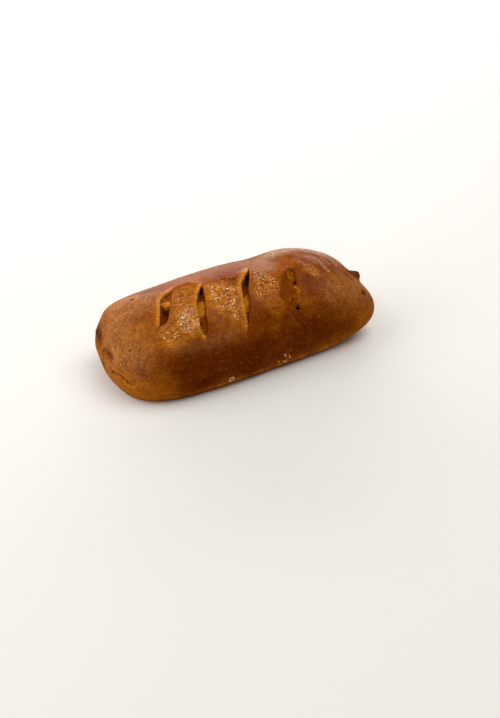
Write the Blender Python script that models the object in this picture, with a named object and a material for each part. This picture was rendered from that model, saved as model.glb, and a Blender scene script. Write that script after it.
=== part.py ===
"""A sausage brioche: a glossy plump roll with four slanting cuts that show its filling.

The roll lies along X on its flat base, with +Z up and its front towards -Y.
Every size is in metres.
"""
import math
from collections import namedtuple

import bmesh
import bpy
from mathutils import Vector

# Driving dimensions of the roll
ROLL_LENGTH = 0.188
ROLL_HEIGHT = 0.0564
FRONT_HALF_WIDTH = 0.0440
BACK_HALF_WIDTH = 0.0430
WIDEST_HEIGHT = 0.0192
BASE_SINK = 0.010
TOP_ROUNDNESS = 2.15
BASE_ROUNDNESS = 2.7
RISE_TO_RIGHT = 0.029
MIDDLE_BOW = 0.0011

# How blunt each end is: the higher the number, the squarer the end
LEFT_FRONT_BLUNT = 3.7
LEFT_BACK_BLUNT = 5.3
RIGHT_FRONT_BLUNT = 6.0
RIGHT_BACK_BLUNT = 4.2
LEFT_TOP_BLUNT = 5.0
RIGHT_TOP_BLUNT = 2.7

# Faces along, across and up the roll
FACES_LONG = 54
FACES_WIDE = 22
FACES_HIGH = 13
CORE_REACH = 0.62
SEARCH_REACH = 2.0
SEARCH_STEPS = 40

# Space between pieces that touch
PIECE_GAP = 0.0003

# The sausage
SAUSAGE_LENGTH = 0.150
SAUSAGE_MIDDLE = (-0.004, -0.008, 0.0335)
SAUSAGE_HALF_WIDTH = 0.0150
SAUSAGE_HALF_HEIGHT = 0.0145
SAUSAGE_END_BLUNT = 3.2
SAUSAGE_RINGS = 24
SAUSAGE_SIDES = 20

# The cheese that runs along the front shoulder of the sausage: where its middle line lies,
# how wide it spreads to either side, and how deep it lies under the crust
Stop = namedtuple("Stop", "x y half_width cover")
CHEESE_STOPS = (
    Stop(-0.064, -0.0010, 0.0050, 0.0065),
    Stop(-0.051, -0.0055, 0.0055, 0.0060),
    Stop(-0.038, -0.0170, 0.0072, 0.0052),
    Stop(-0.004, -0.0215, 0.0044, 0.0055),
    Stop(0.028, -0.0235, 0.0120, 0.0032),
    Stop(0.042, -0.0220, 0.0110, 0.0034),
)
CHEESE_HALF_HEIGHT = 0.0050
CHEESE_LUMP = 0.0007
CHEESE_LUMP_WAVES = (420.0, 790.0)
CHEESE_END_BLUNT = 2.4
CHEESE_RINGS = 34
CHEESE_SIDES = 14

# A cut: the ends of its middle line on the crust, how far that line bows to the left,
# its width and depth, and how much its walls lean open
Cut = namedtuple("Cut", "name back front bow width depth lean")
CUTS = (
    Cut("cut_1", (-0.0455, 0.0065), (-0.0700, -0.0215), 0.0003, 0.0082, 0.0090, 0.16),
    Cut("cut_2", (-0.0270, -0.0005), (-0.0465, -0.0365), 0.0008, 0.0062, 0.0090, 0.14),
    Cut("cut_3", (0.0105, 0.0015), (-0.0140, -0.0365), 0.0015, 0.0045, 0.0100, 0.10),
    Cut("cut_4", (0.0360, -0.0095), (0.0215, -0.0370), 0.0020, 0.0140, 0.0062, 0.42),
)
CUT_STEPS = 12
CUT_TOP = 0.075
CUT_END_WIDTH = 0.0006
CUT_RUN_OUT = 0.0006
WIDTH_FULLNESS = 0.7
DEPTH_FULLNESS = 0.5
LIP_HEIGHT = 0.0007
LIP_REACH = 0.0030

# A soft swelling of the crust: its middle, its reach along X, Y and Z, and its height
Swelling = namedtuple("Swelling", "name middle reach height")
SWELLINGS = (
    Swelling("band_1_to_2", (-0.0540, -0.0160, 0.0520), (0.0085, 0.0180, 0.0140), 0.0012),
    Swelling("band_2_to_3", (-0.0200, -0.0160, 0.0540), (0.0110, 0.0180, 0.0140), 0.0010),
    Swelling("band_3_to_4", (0.0110, -0.0180, 0.0530), (0.0100, 0.0170, 0.0140), 0.0009),
    Swelling("right_of_cut_4", (0.0440, -0.0140, 0.0530), (0.0050, 0.0110, 0.0090), 0.0016),
    Swelling("crown_saddle", (0.0120, 0.0100, 0.0560), (0.0200, 0.0200, 0.0140), -0.0011),
    Swelling("back_crown", (0.0500, 0.0080, 0.0540), (0.0160, 0.0200, 0.0120), 0.0011),
    Swelling("right_shoulder", (0.0810, -0.0170, 0.0420), (0.0120, 0.0140, 0.0100), -0.0032),
    Swelling("right_cheek", (0.0930, -0.0330, 0.0200), (0.0120, 0.0120, 0.0100), 0.0010),
    Swelling("right_tip_root", (0.0920, -0.0115, 0.0320), (0.0080, 0.0070, 0.0060), 0.0010),
    Swelling("left_back_shoulder", (-0.0870, 0.0270, 0.0360), (0.0100, 0.0100, 0.0080), -0.0014),
    Swelling("left_back_cheek", (-0.0930, 0.0190, 0.0200), (0.0100, 0.0090, 0.0060), 0.0012),
    Swelling("left_fold", (-0.0930, 0.0090, 0.0275), (0.0070, 0.0060, 0.0050), 0.0014),
    Swelling("left_notch", (-0.0920, 0.0180, 0.0070), (0.0090, 0.0080, 0.0055), -0.0022),
    Swelling("left_low_fold", (-0.0930, -0.0050, 0.0150), (0.0070, 0.0070, 0.0045), 0.0010),
)

# A ridge or crease along a line of places: its half width and its height
Ridge = namedtuple("Ridge", "name line half_width height")
RIDGES = (
    Ridge("end_seam", ((0.056, 0.009, 0.053), (0.070, -0.003, 0.050), (0.079, -0.014, 0.044),
                       (0.086, -0.018, 0.038)), 0.0026, 0.0013),
    Ridge("end_flap", ((0.066, 0.012, 0.051), (0.080, -0.001, 0.045), (0.089, -0.010, 0.038)),
          0.0026, 0.0011),
    Ridge("front_crease", ((0.021, -0.0385, 0.037), (0.027, -0.042, 0.027)), 0.0022, -0.0006),
)

# The pinched tips where the dough was closed at either end: the middle of a tip, and its
# half length along the roll and its radius
Tip = namedtuple("Tip", "name middle half_length radius")
TIPS = (
    Tip("right_tip", (0.0885, -0.0115, 0.0338), 0.0068, 0.0043),
    Tip("left_tip", (-0.0902, 0.0213, 0.0302), 0.0046, 0.0046),
)
TIP_SIDES = 12
TIP_RINGS = 8

# Crust relief fades out over this height above the base
BASE_FADE = 0.006

# Rounded rods stop this share short of a point, where a small flat cap closes them
ROD_TRIM = 0.96

# Faces that lie within this angle of each other are one flat face, in degrees
FLAT_ANGLE = 0.05


def clear_scene():
    for item in list(bpy.data.objects):
        bpy.data.objects.remove(item, do_unlink=True)


def material(name, color, roughness, coat=0.0):
    """A plain Principled material in linear RGB."""
    made = bpy.data.materials.new(name)
    made.use_nodes = True
    shader = made.node_tree.nodes["Principled BSDF"]
    shader.inputs["Base Color"].default_value = (*color, 1.0)
    shader.inputs["Roughness"].default_value = roughness
    shader.inputs["Metallic"].default_value = 0.0
    shader.inputs["Coat Weight"].default_value = coat
    made.diffuse_color = (*color, 1.0)
    return made


def add_object(name, mesh_data):
    """Turn a bmesh into a named object with a checked outward side."""
    bmesh.ops.recalc_face_normals(mesh_data, faces=mesh_data.faces)
    mesh = bpy.data.meshes.new(name)
    mesh_data.to_mesh(mesh)
    mesh_data.free()
    made = bpy.data.objects.new(name, mesh)
    bpy.context.collection.objects.link(made)
    return made


def hide_guide(guide):
    guide.hide_render = True
    guide.display_type = "WIRE"


def mix(first, second, share):
    return first + (second - first) * share


def left_over(along, blunt):
    """The share of the full section that is left at a place from -1 to 1 along the roll."""
    return max(1.0 - abs(along) ** blunt, 0.0) ** (1.0 / blunt)


def section(x, towards_y):
    """Half width, height and roundness of the roll at x, on the side of towards_y."""
    along = max(-0.9999, min(0.9999, x / (ROLL_LENGTH / 2)))
    middle_y = MIDDLE_BOW * (1.0 - along ** 2)
    front = towards_y < middle_y
    if along < 0:
        side_blunt = LEFT_FRONT_BLUNT if front else LEFT_BACK_BLUNT
        top_blunt = LEFT_TOP_BLUNT
    else:
        side_blunt = RIGHT_FRONT_BLUNT if front else RIGHT_BACK_BLUNT
        top_blunt = RIGHT_TOP_BLUNT
    side = FRONT_HALF_WIDTH if front else BACK_HALF_WIDTH
    rise = left_over(along, top_blunt)
    top = ROLL_HEIGHT * (1.0 + RISE_TO_RIGHT * along) - WIDEST_HEIGHT
    return middle_y, side * left_over(along, side_blunt), top * rise, (WIDEST_HEIGHT + BASE_SINK) * rise


def crust_height(x, y):
    """Height of the smooth crust above a place on the board plane."""
    middle_y, side, top, _ = section(x, y)
    across = min(abs(y - middle_y) / side, 1.0)
    return WIDEST_HEIGHT + top * (1.0 - across ** TOP_ROUNDNESS) ** (1.0 / TOP_ROUNDNESS)


def is_inside(place):
    """Whether a place lies within the smooth roll, before its base is flattened."""
    if abs(place.x) >= ROLL_LENGTH / 2:
        return False
    middle_y, side, top, sink = section(place.x, place.y)
    above = place.z >= WIDEST_HEIGHT
    roundness = TOP_ROUNDNESS if above else BASE_ROUNDNESS
    reach = top if above else sink
    across = abs(place.y - middle_y) / max(side, 1e-6)
    upward = abs(place.z - WIDEST_HEIGHT) / max(reach, 1e-6)
    return across ** roundness + upward ** roundness < 1.0


def onto_crust(place):
    """Move a place out from the core line until it meets the crust."""
    core = Vector((place.x * CORE_REACH, 0.0, WIDEST_HEIGHT))
    way = place - core
    near = 0.0
    far = SEARCH_REACH
    for _ in range(SEARCH_STEPS):
        middle = (near + far) / 2
        if is_inside(core + way * middle):
            near = middle
        else:
            far = middle
    return core + way * near


def bump_shape(distance):
    """1 at the middle, falling smoothly to nothing."""
    return math.exp(-distance * distance)


def distance_to_line(place, line):
    """Shortest distance from a place to a line through several places."""
    best = 1.0
    for start, end in zip(line, line[1:]):
        start = Vector(start)
        way = Vector(end) - start
        share = max(0.0, min(1.0, (place - start).dot(way) / way.length_squared))
        best = min(best, (place - start - way * share).length)
    return best


def cut_middle(cut, share):
    """A place on a cut's middle line, from its back end at 0 to its front end at 1."""
    back = Vector(cut.back)
    way = Vector(cut.front) - back
    left = Vector((way.y, -way.x)).normalized()
    return back + way * share + left * cut.bow * math.sin(math.pi * share), left


def cut_half_width(cut, share):
    """Half the width of a cut where it leaves the crust."""
    return CUT_END_WIDTH / 2 + cut.width / 2 * math.sin(math.pi * share) ** WIDTH_FULLNESS


def lip_rise(place):
    """How much the crust swells beside the cuts."""
    rise = 0.0
    for cut in CUTS:
        for step in range(1, CUT_STEPS):
            share = step / CUT_STEPS
            middle, _ = cut_middle(cut, share)
            outside = (Vector((place.x, place.y)) - middle).length - cut_half_width(cut, share)
            fade = math.sin(math.pi * share) ** DEPTH_FULLNESS
            rise = max(rise, fade * bump_shape(max(outside, 0.0) / LIP_REACH))
    return rise * LIP_HEIGHT


def relief(place):
    """How far the crust stands out at a place on the smooth roll."""
    rise = lip_rise(place) if place.z > WIDEST_HEIGHT else 0.0
    for swelling in SWELLINGS:
        offset = place - Vector(swelling.middle)
        scaled = [offset[i] / swelling.reach[i] for i in range(3)]
        rise += swelling.height * bump_shape(math.sqrt(sum(part * part for part in scaled)))
    for ridge in RIDGES:
        rise += ridge.height * bump_shape(distance_to_line(place, ridge.line) / ridge.half_width)
    return rise * min(1.0, place.z / BASE_FADE)


def subdivide_along(mesh_data, axis, cuts):
    """Split a block's edges that run along one axis."""
    edges = [edge for edge in mesh_data.edges
             if abs((edge.verts[0].co - edge.verts[1].co).normalized()[axis]) > 0.9]
    bmesh.ops.subdivide_edges(mesh_data, edges=edges, cuts=cuts, use_grid_fill=True)


def make_roll():
    """The solid roll: a subdivided block moved out onto the crust, with its relief."""
    block = bmesh.new()
    bmesh.ops.create_cube(block, size=1.0)
    for axis, faces in enumerate((FACES_LONG, FACES_WIDE, FACES_HIGH)):
        subdivide_along(block, axis, faces - 1)
    for corner in block.verts:
        scaled = Vector((corner.co.x * ROLL_LENGTH,
                         corner.co.y * 2 * FRONT_HALF_WIDTH,
                         (corner.co.z + 0.5) * ROLL_HEIGHT))
        corner.co = onto_crust(scaled)
    block.normal_update()
    moves = [(corner, corner.normal * relief(corner.co)) for corner in block.verts if corner.co.z > 0]
    for corner, move in moves:
        corner.co += move
    for corner in block.verts:
        corner.co.z = max(corner.co.z, 0.0)
    bmesh.ops.dissolve_limit(block, angle_limit=math.radians(FLAT_ANGLE),
                             verts=block.verts, edges=block.edges)
    bmesh.ops.triangulate(block, faces=block.faces)
    return add_object("brioche", block)


def bridge_rings(mesh_data, rings):
    """Join closed rings of places into a capped tube."""
    loops = [[mesh_data.verts.new(place) for place in ring] for ring in rings]
    for near, far in zip(loops, loops[1:]):
        for i in range(len(near)):
            after = (i + 1) % len(near)
            mesh_data.faces.new((near[i], near[after], far[after], far[i]))
    mesh_data.faces.new(loops[0])
    mesh_data.faces.new(list(reversed(loops[-1])))


def ring_angles(sides):
    return [2 * math.pi * (i + 0.5) / sides for i in range(sides)]


def even_shares(count):
    """Places from -1 to 1 along a rounded piece, closer together towards its ends."""
    return [math.sin(math.pi * (i / (count - 1) - 0.5) * ROD_TRIM) for i in range(count)]


def make_sausage(name, grow):
    """The sausage, or with some growth the space that it takes in the crumb."""
    rings = []
    middle = Vector(SAUSAGE_MIDDLE)
    for along in even_shares(SAUSAGE_RINGS):
        share = left_over(along, SAUSAGE_END_BLUNT)
        x = middle.x + along * (SAUSAGE_LENGTH / 2 + grow)
        rings.append([(x,
                       middle.y + (SAUSAGE_HALF_WIDTH * share + grow) * math.cos(angle),
                       middle.z + (SAUSAGE_HALF_HEIGHT * share + grow) * math.sin(angle))
                      for angle in ring_angles(SAUSAGE_SIDES)])
    tube = bmesh.new()
    bridge_rings(tube, rings)
    return add_object(name, tube)


def cheese_stop(x):
    """The cheese's middle line, spread and cover at x, eased from one stop to the next."""
    for near, far in zip(CHEESE_STOPS, CHEESE_STOPS[1:]):
        if x <= far.x:
            break
    share = max(0.0, min(1.0, (x - near.x) / (far.x - near.x)))
    eased = share * share * (3.0 - 2.0 * share)
    return Stop(x, *[mix(near[i], far[i], eased) for i in (1, 2, 3)])


def make_cheese(name, grow):
    """The strip of cheese, or with some growth the space that it takes in the crumb."""
    rings = []
    start = CHEESE_STOPS[0].x
    end = CHEESE_STOPS[-1].x
    for along in even_shares(CHEESE_RINGS):
        share = left_over(along, CHEESE_END_BLUNT)
        stop = cheese_stop(mix(start, end, (along + 1) / 2))
        lump = CHEESE_LUMP * sum(math.sin(stop.x * wave) for wave in CHEESE_LUMP_WAVES)
        half_width = (stop.half_width + lump) * share
        half_height = (CHEESE_HALF_HEIGHT + lump / 2) * share
        ring = []
        for angle in ring_angles(CHEESE_SIDES):
            y = stop.y + half_width * math.cos(angle)
            top = crust_height(stop.x, y) - stop.cover - CHEESE_HALF_HEIGHT
            ring.append((stop.x + along * grow, y + grow * math.cos(angle),
                         top + (half_height + grow) * math.sin(angle)))
        rings.append(ring)
    tube = bmesh.new()
    bridge_rings(tube, rings)
    return add_object(name, tube)


def make_cut(cut):
    """The wedge that opens one cut: narrow at its foot, wide where it leaves the crust."""
    rings = []
    for step in range(CUT_STEPS + 1):
        share = step / CUT_STEPS
        middle, left = cut_middle(cut, share)
        half = cut_half_width(cut, share)
        crust = crust_height(middle.x, middle.y)
        foot = crust + CUT_RUN_OUT - cut.depth * math.sin(math.pi * share) ** DEPTH_FULLNESS
        narrow = half * (1.0 - cut.lean)
        wide = half + (CUT_TOP - crust) * cut.lean * half / cut.depth
        low_left = middle + left * narrow
        low_right = middle - left * narrow
        high_left = middle + left * wide
        high_right = middle - left * wide
        rings.append([(low_left.x, low_left.y, foot), (low_right.x, low_right.y, foot),
                      (high_right.x, high_right.y, CUT_TOP), (high_left.x, high_left.y, CUT_TOP)])
    wedge = bmesh.new()
    bridge_rings(wedge, rings)
    return add_object(cut.name, wedge)


def make_tip(tip):
    """One pinched tip of dough: a small blunt knob that starts inside the roll."""
    knob = bmesh.new()
    bmesh.ops.create_uvsphere(knob, u_segments=TIP_SIDES, v_segments=TIP_RINGS, radius=1.0)
    for corner in knob.verts:
        corner.co = Vector((corner.co.z * tip.half_length, corner.co.y * tip.radius,
                            corner.co.x * tip.radius)) + Vector(tip.middle)
    return add_object(tip.name, knob)


def apply_boolean(target, tool, operation):
    """Apply a Boolean of one object on another, and keep the tool as a hidden guide."""
    modifier = target.modifiers.new(operation.lower() + "_" + tool.name, "BOOLEAN")
    modifier.operation = operation
    modifier.solver = "EXACT"
    modifier.object = tool
    hide_guide(tool)
    bpy.context.view_layer.update()
    shape = target.evaluated_get(bpy.context.evaluated_depsgraph_get())
    mesh = bpy.data.meshes.new_from_object(shape)
    target.modifiers.clear()
    target.data = mesh


def finish_piece(piece, made_material, sharp_angle):
    """Give a piece its material and smooth shading, apart from its sharp cut edges."""
    piece.data.materials.clear()
    piece.data.materials.append(made_material)
    piece.data.shade_smooth()
    piece.data.set_sharp_from_angle(angle=math.radians(sharp_angle))


def centre_on_base(pieces):
    """Put the middle of the roll's base outline at the origin."""
    roll = pieces[0].data.vertices
    xs = [corner.co.x for corner in roll]
    ys = [corner.co.y for corner in roll]
    shift = Vector(((min(xs) + max(xs)) / -2, (min(ys) + max(ys)) / -2, 0.0))
    for piece in pieces:
        piece.location = shift


def build():
    clear_scene()
    crust = material("baked_crust", (0.33, 0.105, 0.022), 0.38, coat=0.35)
    meat = material("sausage_skin", (0.135, 0.022, 0.010), 0.35, coat=0.2)
    melted = material("melted_cheese", (0.50, 0.235, 0.022), 0.45)

    roll = make_roll()
    for tip in TIPS:
        apply_boolean(roll, make_tip(tip), "UNION")
    for cut in CUTS:
        apply_boolean(roll, make_cut(cut), "DIFFERENCE")
    sausage_space = make_sausage("sausage_space", PIECE_GAP)
    apply_boolean(roll, sausage_space, "DIFFERENCE")
    apply_boolean(roll, make_cheese("cheese_space", PIECE_GAP), "DIFFERENCE")

    sausage = make_sausage("sausage", 0.0)
    cheese = make_cheese("cheese_filling", 0.0)
    apply_boolean(cheese, sausage_space, "DIFFERENCE")

    finish_piece(roll, crust, 40.0)
    finish_piece(sausage, meat, 60.0)
    finish_piece(cheese, melted, 50.0)
    centre_on_base((roll, sausage, cheese))


build()
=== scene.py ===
"""Looks of a sausage brioche: its blistered, glazed crust, its cuts and its filling.

Laid out as an add-on. Each piece has an operator, and main() runs them in order around
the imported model. Single sizes are in metres, the rows of the tables in millimetres, and
every colour is linear RGB.
"""
import math
from collections import namedtuple

import bpy
import numpy as np
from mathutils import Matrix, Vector, noise


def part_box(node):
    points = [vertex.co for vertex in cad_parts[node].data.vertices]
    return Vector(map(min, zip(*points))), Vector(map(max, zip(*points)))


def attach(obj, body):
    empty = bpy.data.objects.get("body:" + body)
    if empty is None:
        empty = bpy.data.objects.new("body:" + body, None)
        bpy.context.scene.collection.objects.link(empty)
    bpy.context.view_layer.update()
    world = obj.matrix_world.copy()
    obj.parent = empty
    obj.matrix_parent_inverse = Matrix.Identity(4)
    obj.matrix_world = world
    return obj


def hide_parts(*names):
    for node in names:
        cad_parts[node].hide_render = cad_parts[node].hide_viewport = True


bl_info = {
    "name": "Sausage brioche",
    "version": (1, 0, 0),
    "blender": (4, 5, 0),
    "location": "3D view > Sidebar > Brioche",
    "description": "Crust, filling and stage of a sausage brioche",
    "category": "Mesh",
}

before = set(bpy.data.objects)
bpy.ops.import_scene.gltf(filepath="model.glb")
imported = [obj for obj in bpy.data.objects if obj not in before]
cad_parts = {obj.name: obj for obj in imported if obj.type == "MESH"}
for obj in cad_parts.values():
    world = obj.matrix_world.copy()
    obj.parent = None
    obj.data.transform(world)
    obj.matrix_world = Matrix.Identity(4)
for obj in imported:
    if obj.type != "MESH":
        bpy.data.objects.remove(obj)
SAUSAGE_LOW, SAUSAGE_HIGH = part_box("sausage")

# The roll's own sizes, as its solid has them
ROLL_LENGTH = 0.188
ROLL_HEIGHT = 0.0564
FRONT_HALF_WIDTH = 0.0440
BACK_HALF_WIDTH = 0.0430
WIDEST_HEIGHT = 0.0192
BASE_SINK = 0.010
TOP_ROUNDNESS = 2.15
BASE_ROUNDNESS = 2.7
RISE_TO_RIGHT = 0.029
MIDDLE_BOW = 0.0011
LEFT_FRONT_BLUNT = 3.7
LEFT_BACK_BLUNT = 5.3
RIGHT_FRONT_BLUNT = 6.0
RIGHT_BACK_BLUNT = 4.2
LEFT_TOP_BLUNT = 5.0
RIGHT_TOP_BLUNT = 2.7
BLOCK_BEVEL = 0.018
BLOCK_STEPS = 6
CORE_REACH = 0.62
SEARCH_REACH = 3.0
SEARCH_STEPS = 36

# The solid was moved by this much to put the middle of its base at the origin
SAUSAGE_DESIGN_X = -0.004
SAUSAGE_DESIGN_Y = -0.008
SHIFT_X = (SAUSAGE_LOW.x + SAUSAGE_HIGH.x) / 2 - SAUSAGE_DESIGN_X
SHIFT_Y = (SAUSAGE_LOW.y + SAUSAGE_HIGH.y) / 2 - SAUSAGE_DESIGN_Y

# Limits that keep divisions safe, and a distance longer than the roll
NEXT_TO_NOTHING = 1e-6
FAR = 1.0
MILLIMETRES = 1000
DECIMALS = 7


def in_metres(size):
    """A size, or a row of sizes, from millimetres to metres."""
    if isinstance(size, tuple):
        return tuple(in_metres(part) for part in size)
    return round(size / MILLIMETRES, DECIMALS)


def read_table(kind, sizes, rows):
    """Rows of one kind. So many of the first fields are sizes in millimetres."""
    return tuple(kind(*in_metres(row[:sizes]), *row[sizes:]) for row in rows)


# A cut seen from above: its left and right lips from back to front, the depth of its
# floor, the width over which either wall falls, and how far the pale lip reaches
Cut = namedtuple("Cut", "left_lip right_lip depth left_wall right_wall pale_reach")
CUTS = read_table(Cut, 6, (
    (((-44.6, 6), (-51, 3.4), (-55.3, 1.8), (-59, -1.3), (-62.1, -7.1), (-66.4, -14.5), (-70, -20.1)),
     ((-44.6, 6), (-48.3, 0.8), (-51.9, -5.6), (-54.5, -10), (-59, -13.8), (-60.4, -16.7),
     (-65.5, -20.5), (-70, -20.1)), 1.4, 0.8, 1.8, 2.2),
    (((-26.8, -0.4), (-31.1, -4.6), (-35.6, -9.3), (-40.3, -16), (-44.3, -25.8), (-46.8, -31.2),
     (-46.4, -33.5), (-44.6, -34.9)), ((-26.8, -0.4), (-27.9, -5.5), (-31, -12.2), (-34.3, -17.8),
     (-37.8, -25), (-39.9, -30.4), (-41.6, -33.2), (-44.6, -34.9)), 3.4, 0.8, 2, 1.8),
    (((11, 1.8), (8.1, -2), (0.8, -7.5), (-3.2, -11.5), (-5.8, -16), (-7.8, -20), (-11.2, -27.5),
     (-14, -36.2)), ((11, 1.8), (8, -4), (3.8, -10.2), (-0.8, -16.5), (-2.8, -20), (-6.2, -27.7),
     (-10.2, -32.2), (-14, -36.2)), 4, 0.8, 1.2, 3),
    (((37, -8.5), (29, -13.2), (24, -17.2), (20.2, -21.3), (16.7, -25.4), (15.2, -27.5), (16, -30.6),
     (18.9, -35.4), (22.1, -36.7)), ((37, -8.5), (37.9, -11.9), (36.6, -16.8), (34.5, -21.1),
     (34.3, -24), (33, -28), (29.2, -31.6), (24.8, -34), (22.1, -36.7)), 4.6, 4.2, 1.6, 0),
))
LIP_ROUND = 0.0003
LIP_REACH = 0.0020
LIP_HEIGHT = 0.0005
RIGHT_LIP = 0.3
LIP_CLEAR = 0.0018
TEAR_SIZE = 0.0022
TEAR_DEPTH = 0.0003
TEAR_REACH = 4
SHALLOWEST = 0.0006
CORNER_SHARES = (0.25, 0.75)

# The cuts run this way seen from above
CUT_WAY = (-0.548, -0.836)

# A deeper or, with a negative depth, a higher place in the floor of a cut
Hollow = namedtuple("Hollow", "middle reach depth")
HOLLOWS = read_table(Hollow, 3, (
    ((-60.7, -10.8), 4, 7),
    ((-65, -16.5), 3.8, 6),
    ((-30, -5), 4, 6),
    ((-36.5, -15.5), 7.5, 4),
    ((-30.3, -7), 2.3, -5.6),
    ((-29.2, -6.2), 0.9, -1.6),
    ((1.5, -9.5), 7, 7),
    ((-7, -24), 5, 1.8),
    ((34.6, -13), 2.2, -3),
    ((34.6, -13), 0.9, 1),
    ((33.8, -16.4), 1.8, -1.4),
    ((32.4, -22.6), 1.4, -1.4),
    ((32.6, -24.8), 1.4, -1.6),
    ((31.8, -27), 1.4, -1.6),
    ((29, -24.5), 2.4, 1),
))

# Where a cut runs back under the crust: the middle, the reach and how far it is pushed
Cave = namedtuple("Cave", "middle reach push")
CAVES = read_table(Cave, 3, (
    ((-59, -8.5), 4.2, 3.4),
    ((-29.5, -4.5), 4.5, 3.4),
    ((5, -5), 6, 3.4),
))
CAVE_DEPTHS = (0.0015, 0.0060)

# A soft swelling of the crust: its middle, its reach along X, Y and Z, and its height
Swelling = namedtuple("Swelling", "middle reach height")
SWELLINGS = read_table(Swelling, 3, (
    ((-44, -2, 55.5), (8, 6.2, 14), -1.1),
    ((-54, -21, 51), (7.5, 9, 14), 1.2),
    ((-20, -16, 54), (11, 18, 14), 1),
    ((11, -18, 53), (10, 17, 14), 0.9),
    ((44, -14, 53), (5, 11, 9), 1.2),
    ((15, 10, 56), (19, 20, 14), -1.1),
    ((30, 15, 55.5), (11, 18, 14), -3.4),
    ((50, 8, 54), (16, 20, 12), 1.1),
    ((81, -17, 42), (12, 14, 10), -3.2),
    ((93, -33, 20), (12, 12, 10), 1),
    ((92, -11.5, 32), (8, 7, 6), 1),
    ((-87, 27, 34), (10, 10, 7), -1),
    ((-82, 25, 44), (12, 15, 10), 1.5),
    ((-93, 19, 20), (10, 9, 6), 1.2),
    ((-93, 9, 29), (7, 5, 4), 1.4),
    ((-92, 18, 7), (9, 8, 5.5), -2.2),
    ((-93, -5, 15), (7, 7, 4.5), 1),
    ((-94, 5, 21.5), (6, 4.5, 4), -1.8),
    ((5, -1.5, 56), (6, 4, 6), 1),
))

# Lines of the crack at the left end, in millimetres
CRACK = ((-94, -0.6, 12.1), (-94, -6.4, 14.1), (-93.6, -11, 15.2), (-93.2, -16.8, 12.6))
CRACK_END = ((-93.2, -17.2, 15.2), (-92.2, -21.2, 13.4))
CRACK_LIP = ((-93.4, -16, 16.2), (-91.9, -22.2, 15.3))

# A ridge or, with a negative height, a crease along a line of places. A place with no
# height of its own lies on the crust.
Ridge = namedtuple("Ridge", "line half_width height")
RIDGES = read_table(Ridge, 3, (
    (((56, 9, 53), (70, -3, 50), (79, -14, 44), (86, -18, 38)), 3.6, 0.6),
    (((66, 12, 51), (80, -1, 45), (89, -10, 38)), 3.4, 0.5),
    (((21, -38.5, 37), (23.5, -40.9, 32), (27, -42, 26)), 1.2, -0.8),
    (((-53.1, 4.5), (-46.4, 7.5), (-39.3, 9.5), (-31.5, 8.5), (-28.5, 3.5)), 2.2, 0.6),
    (((45.1, -9), (44.3, -13.4), (43.6, -16.5), (42.9, -20.3)), 1.3, 1),
    (((38.5, -7.5), (40.7, -3.2), (42.9, 0.4)), 1.6, -0.9),
    (((-94.1, 11.4, 22.5), (-94.1, 7.9, 22.8), (-94.1, 5.2, 22.3), (-94.1, 2.6, 20.7)), 0.9, -1),
    (((-94, 6.5, 30), (-94, 12.7, 23.2), (-94, 13.8, 19.2), (-94, 12.4, 15.8), (-94, 9.8, 12.5),
     (-94, 1.6, 11.2)), 1.2, 0.9),
    (CRACK, 1, -2.6),
    (CRACK_END, 0.8, -1.8),
    (CRACK_LIP, 1, 0.9),
    (((-94.1, -3, 15.2), (-93.6, -12, 17)), 1.1, 0.8),
))

# An edge that stands up on its front side and dies away over a distance
Terrace = namedtuple("Terrace", "line height fall")
TERRACES = read_table(Terrace, 3, (
    (((-57.5, -10.5), (-54.1, -10.6), (-48.7, -12.3), (-40.6, -15.7)), 0.8, 5.5),
    (((-23.5, -4), (-17.3, -10.5), (-7.5, -14.5)), 0.5, 5.5),
))
TERRACE_EDGE = 0.0015
TERRACE_WAVE = 0.0014
TERRACE_REACH = 4 * TERRACE_EDGE
TERRACE_NOISE_SIZE = 0.0035

# The pinched tips at the ends: the middle of a tip, its half length and its radius
Tip = namedtuple("Tip", "middle half_length radius")
TIPS = read_table(Tip, 3, (
    ((88.5, -11.5, 33.8), 6.8, 4.3),
    ((-90.2, 21.3, 30.2), 4.6, 4.6),
))
TIP_MIDDLES = [tip.middle for tip in TIPS]
TIP_SCORCH = (1.0, 0.75)
TIP_CLEAR = 0.0075
TIP_BLEND = 0.0135
SCORCH_REACH = (0.0035, 0.0090)

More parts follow.
